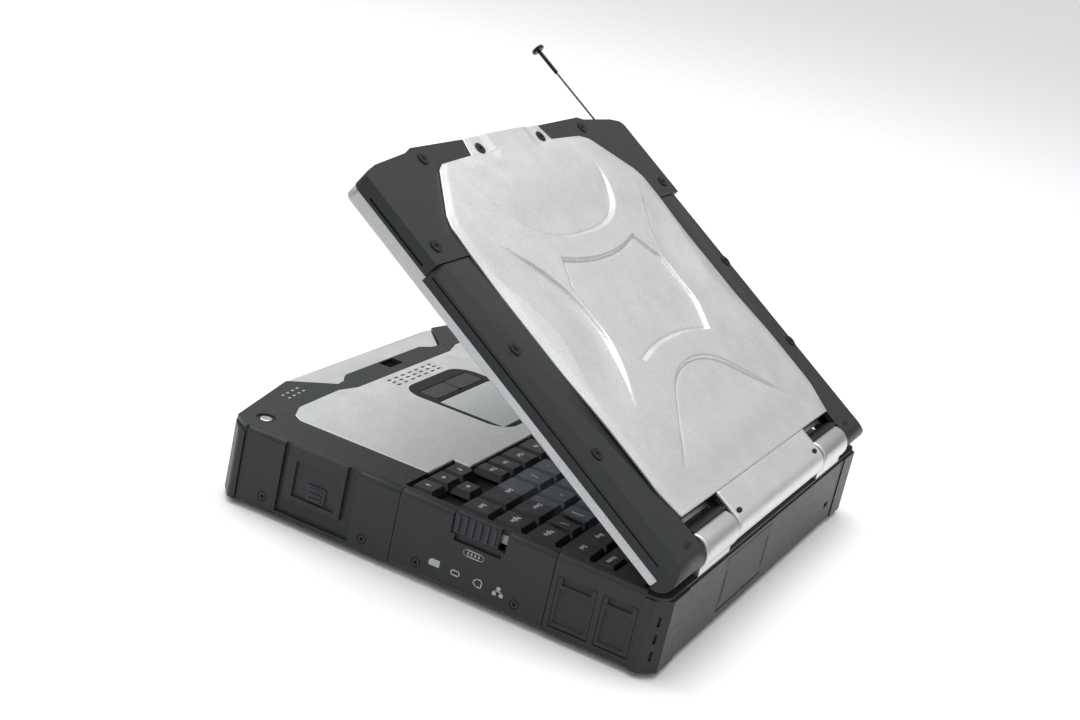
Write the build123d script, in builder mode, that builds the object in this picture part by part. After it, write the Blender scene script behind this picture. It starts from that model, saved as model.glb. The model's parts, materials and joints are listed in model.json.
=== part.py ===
"""A rugged clamshell laptop: a thick base with a pull-out carrying handle and pull-out drive bays,
and a ribbed magnesium lid on two stout hinges.

Row frame: +X is the user's right, +Y runs from the user to the hinges, +Z is up. The origin is the
bottom centre of the whole object's box. The lid stands part way open. All sizes are millimetres.
"""

import os
from math import cos, radians, sin

from build123d import *

os.makedirs("parts", exist_ok=True)

# ---------------------------------------------------------------- driving dimensions: base
SIDE_X = 150.0          # outer face of the side covers
GUARD_X = 151.0         # outer face of the corner guards
FRAME_X = 146.5         # outer face of the base frame's walls
WALL = 2.5              # wall thickness of the base frame
FRAME_FRONT = -108.0    # outer face of the frame's front wall
FRAME_REAR = 129.0      # outer face of the frame's rear wall
REAR_Y = 132.0          # outer face of the rear panel
DECK_TOP = 44.0         # top of the deck
DECK_UNDER = 40.9       # underside of the deck
FOOT_HEIGHT = 2.0
FLOOR_TOP = 4.4         # inside face of the bottom cover
COVER_IN = 146.7        # inner face of the side covers
COVER_BOTTOM = 4.4
COVER_TOP = 43.9        # the covers' rounded tops stand level with the deck
DECK_X = 146.4          # edge of the deck behind the covers
GAP = 0.2               # gap between neighbouring covers
BAY_SPLIT = -12.7       # seam between the front bay cover and the middle cover
PORT_SPLIT = 73.8       # seam between the middle cover and the rear port panel
BAY_FRONT = -104.8      # seam between the front corner guard and the bay cover
PORT_REAR = 120.5       # seam between the rear port panel and the rear corner guard
BAY_LOW = 7.0           # a bay window's lower edge in the frame's wall
BAY_HIGH = 36.0

# ---------------------------------------------------------------- driving dimensions: keyboard
KEY_PITCH = 19.05
ROW_PITCH = 18.5
KEYS_WIDE = 15.0        # keyboard width in key pitches
FIRST_ROW_Y = 5.0       # centre line of the front row
KEY_GAP = 0.7           # gap between two key caps at their skirts
KEY_TAPER = 30          # degrees that a cap's sides lean in
KEY_BOTTOM = 40.9
KEY_TOP = 44.2
TRAY_TOP = 38.8
WELL_X = 144.0
WELL_FRONT = -4.5
WELL_REAR = 101.5
ARROW_X = 95.0          # the arrow keys' pocket starts here
ARROW_FRONT = -14.5

# ---------------------------------------------------------------- driving dimensions: hinge and lid
HINGE_Y = 124.5
HINGE_Z = 53.0
LID_ANGLE = 33.4        # degrees open from closed, as modelled
KNUCKLE_R = 9.5
KNUCKLE_IN = 70.0       # the knuckles' inner and outer ends from the centre plane
KNUCKLE_OUT = 112.0
SHAFT_R = 4.0
RUNNING_FIT = 0.05      # radial clearance of the shafts in the knuckles
LID_HALF = 150.0        # half the lid's width
LID_TOP = 241.0         # distance from the hinge axis to the lid's top edge
FACE_W = -8.0           # screen side face of the bezel, below the hinge axis plane
RIM_W = 0.0             # seam between the bezel and the outer guards
SKIRT_W = -2.8          # the side guards lap over the bezel's side down to here
GUARD_W = 8.0           # outside face of the guards
COVER_W = 9.4           # outside face of the back cover
BARREL_R = 9.0          # rounded lower end of the lid, about the hinge axis
NOTCH_V = 15.6          # the notches round the knuckles end this far up the lid
TONGUE_X = 67.5         # half the width of the cover's tongue between the knuckles
SCREEN_W = 270.4        # visible screen, 13.3 inches across its corners
SCREEN_H = 202.8
SCREEN_V = 125.0        # centre of the screen up the lid
ANTENNA_X = 133.0       # the antenna's distance from the centre plane, on the user's left
ANTENNA_W = 2.5
ANTENNA_TIP = 299.0     # far end of the antenna, pulled out
SLEEVE_V = 279.0        # the antenna's thicker end sleeve starts here
SLEEVE_R = 1.2
KNOB_R = 4.0
ROD_R = 0.65

SIDES = (1, -1)


def span(low, high):
    """The middle and the length of a stretch."""
    return (low + high) / 2, high - low


def block(x_range, y_range, z_range, radius=0.0, mode=Mode.ADD):
    """Add an upright block to the part being built, its upright edges rounded."""
    x_mid, x_size = span(*x_range)
    y_mid, y_size = span(*y_range)
    with BuildSketch(Plane.XY.offset(z_range[0])) as outline:
        with Locations((x_mid, y_mid)):
            if radius:
                RectangleRounded(x_size, y_size, radius)
            else:
                Rectangle(x_size, y_size)
    extrude(outline.sketch, amount=z_range[1] - z_range[0], mode=mode)


def prism(plane, points, height, radius=0.0, mode=Mode.ADD):
    """Add a straight prism on a plane, its outline's corners rounded."""
    with BuildSketch(plane) as outline:
        with BuildLine() as edge:
            Polyline(*points, close=True)
        make_face(edge.edges())
        if radius:
            fillet(outline.vertices(), radius)
    extrude(outline.sketch, amount=height, mode=mode)


def mirrored(points):
    """A half outline, from the centre line outwards, with its mirror image in x."""
    return points + [(-x, y) for x, y in reversed(points) if x]


def side_plane(x):
    """A plane across the laptop: its own x is the row frame's y, its own y is z."""
    return Plane(origin=(x, 0, 0), x_dir=(0, 1, 0), z_dir=(1, 0, 0))


def cylinder_x(x_low, x_high, y, z, radius, mode=Mode.ADD):
    """Add a round bar that runs along the row frame's x."""
    with BuildSketch(side_plane(x_low)) as disc:
        with Locations((y, z)):
            Circle(radius)
    extrude(disc.sketch, amount=x_high - x_low, mode=mode)


def lid_plane(w):
    """A plane in the lid: its own x is the user's left, its own y runs up the lid, and w is outwards."""
    angle = radians(LID_ANGLE)
    outward = Vector(0, sin(angle), cos(angle))
    origin = Vector(0, HINGE_Y, HINGE_Z) + outward * w
    return Plane(origin=origin, x_dir=(-1, 0, 0), z_dir=outward)


def across_lid(v):
    """A plane square to the lid's length: its own x is the user's left, its own y is inwards."""
    origin = lid_plane(0).from_local_coords(Vector(0, v, 0))
    return Plane(origin=origin, x_dir=(-1, 0, 0), z_dir=lid_plane(0).y_dir)


def lid_block(u_range, v_range, w_range, radius=0.0, mode=Mode.ADD):
    """Add a block to a lid part: across the lid, up the lid and outwards."""
    u_mid, u_size = span(*u_range)
    v_mid, v_size = span(*v_range)
    with BuildSketch(lid_plane(w_range[0])) as outline:
        with Locations((u_mid, v_mid)):
            if radius:
                RectangleRounded(u_size, v_size, radius)
            else:
                Rectangle(u_size, v_size)
    extrude(outline.sketch, amount=w_range[1] - w_range[0], mode=mode)


def lid_bar(v_low, v_high, u, w, radius, mode=Mode.ADD):
    """Add a round bar that runs up the lid."""
    up = lid_plane(0).y_dir
    origin = lid_plane(w).from_local_coords(Vector(u, v_low, 0))
    with BuildSketch(Plane(origin=origin, z_dir=up)) as disc:
        Circle(radius)
    extrude(disc.sketch, amount=v_high - v_low, mode=mode)


def save(name, part):
    """Label a finished piece and write it."""
    part.label = name
    export_step(part, f"parts/{name}.step")


# ================================================================ base: shells
with BuildPart() as bottom_cover:
    block((-FRAME_X, FRAME_X), (FRAME_FRONT + 2, FRAME_REAR), (FOOT_HEIGHT, FLOOR_TOP - 0.2), radius=7)
    chamfer(bottom_cover.faces().sort_by(Axis.Z)[0].edges(), 1.2)
    # row of cooling slots across the underside
    with BuildSketch(Plane.XY.offset(FOOT_HEIGHT)) as cooling_slots:
        with Locations((60, 60)):
            with GridLocations(7, 0, 10, 1):
                SlotOverall(36, 2.4, rotation=90)
    extrude(cooling_slots.sketch, amount=1, mode=Mode.SUBTRACT)
save("bottom_cover", bottom_cover.part)

with BuildPart() as rubber_feet:
    with BuildSketch() as foot_outlines:
        with GridLocations(240, 190, 2, 2):
            with Locations((0, 12)):
                SlotOverall(30, 12)
    extrude(foot_outlines.sketch, amount=FOOT_HEIGHT)
    fillet(rubber_feet.faces().sort_by(Axis.Z)[0:4].edges(), 0.6)
save("rubber_feet", rubber_feet.part)

ARM_X = 28.0            # the handle's arms, and their windows in the front wall
ARM_Z = 16.0
with BuildPart() as base_frame:
    block((-FRAME_X, FRAME_X), (FRAME_FRONT, FRAME_REAR), (FLOOR_TOP, DECK_UNDER - 0.2), radius=5)
    block((-FRAME_X + WALL, FRAME_X - WALL), (FRAME_FRONT + WALL, FRAME_REAR - WALL),
          (FLOOR_TOP - 1, DECK_UNDER + 1), radius=3, mode=Mode.SUBTRACT)
    for side in SIDES:
        wall_x = sorted((side * (FRAME_X - WALL - 1), side * (FRAME_X + 1)))
        block(wall_x, (-100, -18), (BAY_LOW, BAY_HIGH), mode=Mode.SUBTRACT)
        block(wall_x, (-8, 69), (BAY_LOW, BAY_HIGH), mode=Mode.SUBTRACT)
        with Locations((side * ARM_X, FRAME_FRONT + WALL / 2, ARM_Z)):
            Box(10, WALL * 3, 10, mode=Mode.SUBTRACT)
    with Locations((36, FRAME_REAR - WALL / 2, 22)):
        Box(58, WALL * 3, 20, mode=Mode.SUBTRACT)
save("base_frame", base_frame.part)

deck_outline = mirrored([(40.5, -115.7), (48.5, -111.2), (57.5, -110.2), (80, -129.5), (141, -117),
                         (150, -106), (150, BAY_FRONT), (DECK_X, BAY_FRONT), (DECK_X, PORT_REAR + 0.1),
                         (150, PORT_REAR + 0.1), (150, 131)])
palm_outline = [(121, ARROW_FRONT), (121, -92), (117, -98), (106, -103), (66, -104.4), (52, -100.4),
                (-52, -100.4), (-66, -104.4), (-106, -103), (-117, -98), (-121, -92),
                (-121, WELL_FRONT), (ARROW_X, WELL_FRONT), (ARROW_X, ARROW_FRONT)]
PLATE_UNDER = 42.6      # underside of the palm rest plate, which lies in a pocket of the deck
PAD_X = 33.0            # half width of the touchpad's surround
PAD_FRONT = -84.0
PAD_REAR = -16.0
BUTTON_X = 133.0        # the power button's place
BUTTON_Y = -105.0
TROUGH_Y = 117.0        # the deck drops behind this line to clear the lid's round lower end

with BuildPart() as deck:
    prism(Plane.XY.offset(DECK_UNDER), deck_outline, DECK_TOP - DECK_UNDER)
    fillet(deck.edges().filter_by(Axis.Z).group_by(Axis.Y)[-1], 8.5)
    fillet(deck.faces().sort_by(Axis.Z)[-1].edges(), 0.8)
    # pocket for the plate, then the openings below the keyboard and the touchpad
    prism(Plane.XY.offset(PLATE_UNDER - 0.1), palm_outline, 3, mode=Mode.SUBTRACT)
    block((-WELL_X, WELL_X), (WELL_FRONT, WELL_REAR), (30, 50), radius=1, mode=Mode.SUBTRACT)
    block((ARROW_X, WELL_X), (ARROW_FRONT, WELL_FRONT + 4), (30, 50), radius=1, mode=Mode.SUBTRACT)
    block((-PAD_X + 3, PAD_X - 3), (PAD_FRONT + 3, PAD_REAR - 3), (30, 50), mode=Mode.SUBTRACT)
    block((-160, 160), (TROUGH_Y, 140), (42.4, 50), mode=Mode.SUBTRACT)
    # slot that takes the lid's latch hook
    block((-7.6, 7.6), (-114.2, -106.4), (30, 50), radius=1, mode=Mode.SUBTRACT)
    with Locations((BUTTON_X, BUTTON_Y, DECK_TOP)):
        Hole(3.6)
    with Locations((BUTTON_X, BUTTON_Y, DECK_TOP)):
        Cylinder(5.2, 2.0, mode=Mode.SUBTRACT)
save("deck", deck.part)

with BuildPart() as palm_rest_plate:
    prism(Plane.XY.offset(PLATE_UNDER), palm_outline, DECK_TOP + 0.2 - PLATE_UNDER)
    block((-PAD_X - 0.2, PAD_X + 0.2), (PAD_FRONT - 0.2, PAD_REAR + 0.2), (30, 50), radius=13.2,
          mode=Mode.SUBTRACT)
    fillet(palm_rest_plate.edges().filter_by(Axis.Z).sort_by(Axis.Y)[:6], 2.5)
    chamfer(palm_rest_plate.faces().sort_by(Axis.Z)[-1].outer_wire().edges(), 0.4)
    with BuildSketch(Plane.XY.offset(DECK_TOP)) as perforations:
        with Locations((4, -92)):
            with GridLocations(7.5, 3.4, 7, 3):
                SlotOverall(4.2, 1.5)
    extrude(perforations.sketch, amount=6, both=True, mode=Mode.SUBTRACT)
save("palm_rest_plate", palm_rest_plate.part)

with BuildPart() as power_button:
    with BuildSketch(Plane.XY.offset(DECK_UNDER + 1)) as button_outline:
        with Locations((BUTTON_X, BUTTON_Y)):
            Circle(3.3)
    extrude(button_outline.sketch, amount=1.7)
    fillet(power_button.faces().sort_by(Axis.Z)[-1].edges(), 0.6)
save("power_button", power_button.part)

# ---------------------------------------------------------------- touchpad
PAD_SPLIT = -61.0       # seam between the buttons and the pad
with BuildPart() as touchpad_surround:
    block((-PAD_X, PAD_X), (PAD_FRONT, PAD_REAR), (DECK_TOP - 1.3, DECK_TOP + 0.3), radius=13)
    fillet(touchpad_surround.faces().sort_by(Axis.Z)[-1].edges(), 0.6)
    block((-27.4, 27.4), (-76, -63), (30, 50), radius=2, mode=Mode.SUBTRACT)
    block((-PAD_X + 3.2, PAD_X - 3.2), (PAD_SPLIT, PAD_REAR - 3.4), (30, 50), radius=2,
          mode=Mode.SUBTRACT)
save("touchpad_surround", touchpad_surround.part)

with BuildPart() as touchpad:
    block((-PAD_X + 3.5, PAD_X - 3.5), (PAD_SPLIT + 0.3, PAD_REAR - 3.7), (41, 43.8), radius=1.8)
save("touchpad", touchpad.part)

for name, side in (("touchpad_button_right", 1), ("touchpad_button_left", -1)):
    with BuildPart() as pad_button:
        block(sorted((side * 0.5, side * 26.9)), (-75.5, -63.5), (42, 44.5), radius=1.5)
        fillet(pad_button.faces().sort_by(Axis.Z)[-1].edges(), 0.6)
    save(name, pad_button.part)

# ---------------------------------------------------------------- keyboard
with BuildPart() as keyboard_tray:
    block((-WELL_X + 0.3, WELL_X - 0.3), (WELL_FRONT + 0.3, WELL_REAR - 0.3), (TRAY_TOP - 2, TRAY_TOP))
    block((ARROW_X + 0.3, WELL_X - 0.3), (ARROW_FRONT + 0.3, WELL_FRONT + 1), (TRAY_TOP - 2, TRAY_TOP))
save("keyboard_tray", keyboard_tray.part)


def key_caps(y_mid, depth, x_start, widths):
    """Add a row of tapered key caps, each width in key pitches."""
    x = x_start
    for width in widths:
        size = width * KEY_PITCH - KEY_GAP
        with BuildSketch(Plane.XY.offset(KEY_BOTTOM)) as skirt:
            with Locations((x + width * KEY_PITCH / 2, y_mid)):
                RectangleRounded(size, depth - KEY_GAP, 0.8)
        extrude(skirt.sketch, amount=KEY_TOP - KEY_BOTTOM, taper=KEY_TAPER)
        x += width * KEY_PITCH


KEYS_LEFT = -KEYS_WIDE * KEY_PITCH / 2
FUNCTION_DEPTH = 12.5
KEY_ROWS = {
    "space_row_keys": [1.25, 1, 1, 1.25, 4.5, 1, 1, 0.75, 0.7],
    "shift_row_keys": [2] + [1] * 10 + [2, 1],
    "home_row_keys": [1.5] + [1] * 11 + [1.5, 1],
    "upper_row_keys": [1.25] + [1] * 12 + [0.75, 1],
    "number_row_keys": [1] * 15,
}
for row, (name, widths) in enumerate(KEY_ROWS.items()):
    with BuildPart() as key_row:
        key_caps(FIRST_ROW_Y + row * ROW_PITCH, ROW_PITCH, KEYS_LEFT, widths)
    save(name, key_row.part)

with BuildPart() as function_row_keys:
    row_y = FIRST_ROW_Y + 4.5 * ROW_PITCH + FUNCTION_DEPTH / 2
    key_caps(row_y, FUNCTION_DEPTH, KEYS_LEFT, [KEYS_WIDE / 16] * 16)
save("function_row_keys", function_row_keys.part)

ARROW_WIDTH = 0.82      # in key pitches
with BuildPart() as arrow_keys:
    arrow_left = 119 - 1.5 * ARROW_WIDTH * KEY_PITCH
    key_caps(-6.3, 14.6, arrow_left, [ARROW_WIDTH] * 3)
    key_caps(7.4, 12.8, arrow_left + ARROW_WIDTH * KEY_PITCH, [ARROW_WIDTH])
save("arrow_keys", arrow_keys.part)

# ---------------------------------------------------------------- corner guards and rear panel
with BuildPart() as front_corner_guards:
    for side in SIDES:
        guard = [(80, -108.4), (80, -129.3), (141, -117.6), (GUARD_X, -109), (GUARD_X, -105),
                 (FRAME_X + 0.2, -105), (FRAME_X + 0.2, -108.4)]
        prism(Plane.XY.offset(3.2), [(side * x, y) for x, y in guard], DECK_UNDER - 3.4)
    outer = front_corner_guards.edges().filter_by(Axis.Z).filter_by_position(Axis.Y, -118, -108.9)
    fillet(outer.filter_by(lambda edge: abs(edge.center().X) > 140), 4)
save("front_corner_guards", front_corner_guards.part)

with BuildPart() as rear_corner_guards:
    for side in SIDES:
        guard = [(FRAME_X + 0.2, PORT_REAR + GAP), (GUARD_X, PORT_REAR + GAP), (GUARD_X, 124.8),
                 (143.2, REAR_Y + 0.6), (124, REAR_Y + 0.6), (124, FRAME_REAR + 0.2),
                 (143.9, FRAME_REAR + 0.2), (FRAME_X + 0.2, 126.4)]
        prism(Plane.XY.offset(3.2), [(side * x, y) for x, y in guard], DECK_UNDER - 3.4)
    outer = rear_corner_guards.edges().filter_by(Axis.Z)
    fillet(outer.filter_by(lambda edge: abs(edge.center().X) > 150 and edge.center().Y > 123), 3)
    for side in SIDES:
        # grip slots across the chamfered corner
        for z in (12, 21, 30):
            with Locations(Location((side * 147.1, 128.7, z), (0, 0, side * 45))):
                Box(2.6, 1.6, 5, mode=Mode.SUBTRACT)
save("rear_corner_guards", rear_corner_guards.part)

PORT_WINDOW = (3.0, 69.0)
with BuildPart() as rear_panel:
    block((-123.8, 123.8), (FRAME_REAR + 0.2, REAR_Y), (3.4, DECK_UNDER - 0.2))
    block(PORT_WINDOW, (REAR_Y - 2, REAR_Y + 1), (8.2, 38.4), mode=Mode.SUBTRACT)
    block((8, 64), (120, 140), (13, 31), mode=Mode.SUBTRACT)
    # cable lock slot
    block((-112, -105), (120, 140), (14, 17.2), mode=Mode.SUBTRACT)
save("rear_panel", rear_panel.part)

with BuildPart() as rear_connectors:
    block((12, 60), (118, REAR_Y - 2.3), (15, 29))
    for x in (24, 48):
        with BuildSketch(Plane.XZ.offset(-(REAR_Y - 2.3))) as shell:
            with Locations((x, 22)):
                RectangleRounded(17, 9, 2)
        extrude(shell.sketch, amount=3, mode=Mode.SUBTRACT)
        with BuildSketch(Plane.XZ.offset(-(REAR_Y - 5.3))) as pin_field:
            with Locations((x, 22)):
                with GridLocations(2.4, 2.4, 5, 2):
                    Rectangle(0.9, 0.9)
        extrude(pin_field.sketch, amount=-2)
save("rear_connectors", rear_connectors.part)

with BuildPart() as rear_port_cover:
    block((PORT_WINDOW[0] + 0.3, PORT_WINDOW[1] - 0.3), (REAR_Y - 1.7, REAR_Y), (8.7, 38.1))
    low = rear_port_cover.edges().filter_by(Axis.X).group_by(Axis.Z)[0]
    fillet(low, 0.8)
    for x in (PORT_WINDOW[0] + 2.4, PORT_WINDOW[1] - 2.4):
        with Locations((x, REAR_Y, 22)):
            Box(1.2, 1.6, 18, mode=Mode.SUBTRACT)
save("rear_port_cover", rear_port_cover.part)

# ================================================================ side covers
TOP_ROUND = 3.0         # rounding of the side covers' upper edges
LATCH_Y = (-77.5, -43.5)
KNOB_Y = (-64.5, -53.5)
KNOB_Z = (18.2, 27.0)
COVER_SCREWS = (-89.0, -28.9)


def round_top(x):
    """Round the long upper edge of the cover being built, on its flat outer face at x."""
    long_edges = edges().filter_by(Axis.Y).filter_by_position(Axis.X, x - 0.01, x + 0.01)
    fillet(long_edges.group_by(Axis.Z)[-1], TOP_ROUND)


def bay_cover(side):
    """Add a front bay's cover, with the sunk well and the plate that its latch slides in."""
    outer, inner = side * SIDE_X, side * COVER_IN
    block(sorted((inner, outer)), (BAY_FRONT + GAP, BAY_SPLIT - GAP), (COVER_BOTTOM, COVER_TOP))
    round_top(outer)
    well = sorted((side * (SIDE_X - 1.8), side * (SIDE_X + 2)))
    block(well, (-81, -37), (6, 60), mode=Mode.SUBTRACT)
    plate = sorted((side * (SIDE_X - 1.8), side * (SIDE_X + 0.5)))
    block(plate, LATCH_Y, (14.5, COVER_TOP - 0.2))
    recess = sorted((side * (SIDE_X - 0.9), side * (SIDE_X + 2)))
    block(recess, (-72.5, -47.5), (17.4, 36.5), mode=Mode.SUBTRACT)
    bores = sorted((side * (SIDE_X - 0.9), side * (SIDE_X + 1)))
    for y in COVER_SCREWS:
        cylinder_x(*bores, y, 10.4, 2.6, mode=Mode.SUBTRACT)


def screw_heads(side, y_places, z):
    """Add button heads that sit in a side cover's counterbores."""
    ends = sorted((side * (SIDE_X - 0.9), side * (SIDE_X + 0.1)))
    for y in y_places:
        cylinder_x(*ends, y, z, 2.3)
        cylinder_x(side * (SIDE_X - 0.4) - 0.6, side * (SIDE_X - 0.4) + 0.6, y, z, 0.8, mode=Mode.SUBTRACT)


for prefix, side in (("drive", 1), ("battery", -1)):
    with BuildPart() as cover:
        bay_cover(side)
    save(f"{prefix}_bay_cover", cover.part)
    with BuildPart() as knob:
        block(sorted((side * (SIDE_X - 0.7), side * (SIDE_X - 0.1))), KNOB_Y, KNOB_Z)
        for rib_z in (20, 22.6, 25.2):
            ridge = sorted((side * (SIDE_X - 0.2), side * (SIDE_X + 0.6)))
            block(ridge, (KNOB_Y[0] + 1.5, KNOB_Y[1] - 1.5), (rib_z - 0.6, rib_z + 0.6))
    save(f"{prefix}_latch_knob", knob.part)

with BuildPart() as drive_cover_screws:
    screw_heads(1, COVER_SCREWS, 10.4)
save("drive_cover_screws", drive_cover_screws.part)

with BuildPart() as hard_drive:
    block((40, COVER_IN), (-97, -21), (8.5, 20.5), radius=1.5)
    fillet(hard_drive.edges().filter_by(Axis.Y), 0.8)
save("hard_drive", hard_drive.part)

with BuildPart() as battery_pack:
    block((-COVER_IN, -56), (-97, -21), (8.5, 27.5), radius=1.5)
    fillet(battery_pack.edges().filter_by(Axis.Y), 2)
save("battery_pack", battery_pack.part)

HINGED_THICK = SIDE_X - COVER_IN
with BuildPart() as connector_cover:
    block((COVER_IN, SIDE_X), (BAY_SPLIT + GAP, PORT_SPLIT - GAP), (COVER_BOTTOM, COVER_TOP))
    round_top(SIDE_X)
    fillet(connector_cover.edges().filter_by(Axis.Y).group_by(Axis.Z)[0], HINGED_THICK / 2 - 0.01)
    # seat of the sliding latch, with the finger scoop under it
    block((COVER_IN - 1, SIDE_X + 1), (17.5, 47.5), (33, 60), mode=Mode.SUBTRACT)
    block((SIDE_X - 1.8, SIDE_X + 1), (20, 46), (29.5, 34), mode=Mode.SUBTRACT)
    for y in (2.6, 57.9):
        cylinder_x(SIDE_X - 0.9, SIDE_X + 1, y, 10.4, 2.6, mode=Mode.SUBTRACT)
save("connector_cover", connector_cover.part)

with BuildPart() as connector_cover_screws:
    screw_heads(1, (2.6, 57.9), 10.4)
save("connector_cover_screws", connector_cover_screws.part)

with BuildPart() as connector_latch:
    block((COVER_IN, SIDE_X - 0.6), (18, 43), (33.2, COVER_TOP))
    for index in range(6):
        rib_y = 20.5 + index * 4
        block((SIDE_X - 0.7, SIDE_X + 0.4), (rib_y - 0.9, rib_y + 0.9), (33.8, COVER_TOP - 0.5))
save("connector_latch", connector_latch.part)

with BuildPart() as connector_block:
    block((112, 143.4), (-6, 67), (8.5, 24))
    # mouths of a card slot, two square jacks and a flat jack
    for y_range, z_range in (((-2, 22), (12, 14.5)), ((28, 39), (11, 20)), ((43, 54), (11, 20)),
                             ((58, 65), (11, 16))):
        block((140, 150), y_range, z_range, mode=Mode.SUBTRACT)
save("connector_block", connector_block.part)

USB_COVERS = {"front": (76.6, 97.4), "rear": (100.6, 118.6)}
with BuildPart() as usb_panel:
    block((COVER_IN, SIDE_X), (PORT_SPLIT + GAP, PORT_REAR), (COVER_BOTTOM, COVER_TOP))
    round_top(SIDE_X)
    for y_low, y_high in USB_COVERS.values():
        block((SIDE_X - 1.8, SIDE_X + 1), (y_low, y_high), (7.2, 33.8), mode=Mode.SUBTRACT)
        middle = (y_low + y_high) / 2
        block((SIDE_X - 9, SIDE_X + 1), (middle - 3.2, middle + 3.2), (13, 26), mode=Mode.SUBTRACT)
save("usb_panel", usb_panel.part)

for place, (y_low, y_high) in USB_COVERS.items():
    with BuildPart() as usb_cover:
        block((SIDE_X - 1.5, SIDE_X + 0.1), (y_low + 0.3, y_high - 0.3), (7.6, 33.5))
        fillet(usb_cover.edges().filter_by(Axis.Y).group_by(Axis.Z)[0], 0.79)
        # finger notch at the top, raised frame round the middle
        block((SIDE_X - 1.0, SIDE_X + 1), (y_low + 2.6, y_high - 2.6), (29.6, 40), mode=Mode.SUBTRACT)
        block((SIDE_X - 0.5, SIDE_X + 1), (y_low + 2.2, y_high - 2.2), (10, 27.6), mode=Mode.SUBTRACT)
    save(f"usb_cover_{place}", usb_cover.part)

with BuildPart() as media_bay_cover:
    block((-SIDE_X, -COVER_IN), (BAY_SPLIT + GAP, PORT_SPLIT - GAP), (COVER_BOTTOM, COVER_TOP))
    round_top(-SIDE_X)
    block((-SIDE_X - 1, -SIDE_X + 1), (22, 40), (32, 38), mode=Mode.SUBTRACT)
    block((-SIDE_X - 1, -SIDE_X + 0.5), (-4, 66), (9, 22), mode=Mode.SUBTRACT)
save("media_bay_cover", media_bay_cover.part)

with BuildPart() as optical_drive:
    block((-COVER_IN, -14), (-5, 66), (8.5, 21))
    fillet(optical_drive.edges().filter_by(Axis.Y), 0.8)
save("optical_drive", optical_drive.part)

with BuildPart() as card_slot_panel:
    block((-SIDE_X, -COVER_IN), (PORT_SPLIT + GAP, PORT_REAR), (COVER_BOTTOM, COVER_TOP))
    round_top(-SIDE_X)
    block((-SIDE_X - 1, -SIDE_X + 1.8), (77, 118), (15.2, 33.8), mode=Mode.SUBTRACT)
    cylinder_x(-SIDE_X - 1, -COVER_IN + 1, 97, 9.6, 2.6, mode=Mode.SUBTRACT)
save("card_slot_panel", card_slot_panel.part)

with BuildPart() as card_slot_cover:
    block((-SIDE_X - 0.1, -SIDE_X + 1.5), (77.3, 117.7), (15.6, 33.5))
    fillet(card_slot_cover.edges().filter_by(Axis.Y).group_by(Axis.Z)[0], 0.79)
    block((-SIDE_X - 1, -SIDE_X + 0.6), (90, 105), (30.2, 40), mode=Mode.SUBTRACT)
save("card_slot_cover", card_slot_cover.part)

# ================================================================ carrying handle
GRIP_TOP = 42.5
GRIP_LOW = 12.0
with BuildPart() as handle_grip:
    grip = mirrored([(40, -116.4), (48.2, -112), (56.6, -111), (78.6, -129.2), (66, -134)])
    prism(Plane.XY.offset(GRIP_LOW), grip, GRIP_TOP - GRIP_LOW)
    front = handle_grip.edges().group_by(Axis.Y)[0]
    fillet(front.filter_by(Axis.X), 5)
save("handle_grip", handle_grip.part)

with BuildPart() as handle_arms:
    for side in SIDES:
        block(sorted((side * (ARM_X - 4), side * (ARM_X + 4))), (-116.4, -62), (ARM_Z - 4, ARM_Z + 4))
save("handle_arms", handle_arms.part)

# ================================================================ inside the base
with BuildPart() as mainboard:
    block((-138, 138), (-98, 116), (29, 30.6), radius=3)
    with Locations((0, 9, 30)):
        with GridLocations(250, 190, 2, 2):
            Cylinder(1.6, 6, mode=Mode.SUBTRACT)
save("mainboard", mainboard.part)

with BuildPart() as heat_spreader:
    block((-62, 62), (10, 96), (30.8, 32.2), radius=4)
    for y in (26, 53, 80):
        block((-58, 58), (y - 3, y + 3), (32.2, 33.8))
save("heat_spreader", heat_spreader.part)

with BuildPart() as memory_modules:
    for side in SIDES:
        block(sorted((side * 76, side * 106)), (20, 88), (30.8, 32.6))
save("memory_modules", memory_modules.part)

with BuildPart() as speaker:
    with BuildSketch(Plane.XY.offset(33)) as speaker_outline:
        with Locations((4, -92)):
            RectangleRounded(52, 13, 5)
    extrude(speaker_outline.sketch, amount=7)
save("speaker", speaker.part)

# ================================================================ hinges
with BuildPart() as hinge_knuckles:
    for side in SIDES:
        ends = sorted((side * KNUCKLE_IN, side * KNUCKLE_OUT))
        cylinder_x(*ends, HINGE_Y, HINGE_Z, KNUCKLE_R)
        block(ends, (HINGE_Y - 7, HINGE_Y + 6.5), (42.5, HINGE_Z))
        cylinder_x(*ends, HINGE_Y, HINGE_Z, SHAFT_R + RUNNING_FIT, mode=Mode.SUBTRACT)
    fillet(hinge_knuckles.edges().filter_by(GeomType.CIRCLE).filter_by(
        lambda edge: abs(edge.radius - KNUCKLE_R) < 0.1), 1.2)
save("hinge_knuckles", hinge_knuckles.part)

with BuildPart() as hinge_shafts:
    for side in SIDES:
        cylinder_x(*sorted((side * 56, side * 126)), HINGE_Y, HINGE_Z, SHAFT_R)
save("hinge_shafts", hinge_shafts.part)

# ================================================================ lid
def barrel(u_range, radius, mode=Mode.ADD):
    """Add a round bar on the hinge axis, across the lid."""
    cylinder_x(-u_range[1], -u_range[0], HINGE_Y, HINGE_Z, radius, mode=mode)


def is_lid_corner(edge, side):
    """Whether an edge stands along w at the lid's outer top corner on that side."""
    spot = lid_plane(0).to_local_coords(edge.center())
    level = abs(edge.tangent_at(0.5).dot(lid_plane(0).z_dir)) > 0.99
    return level and side * spot.X > LID_HALF - 1 and spot.Y > 225


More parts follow.
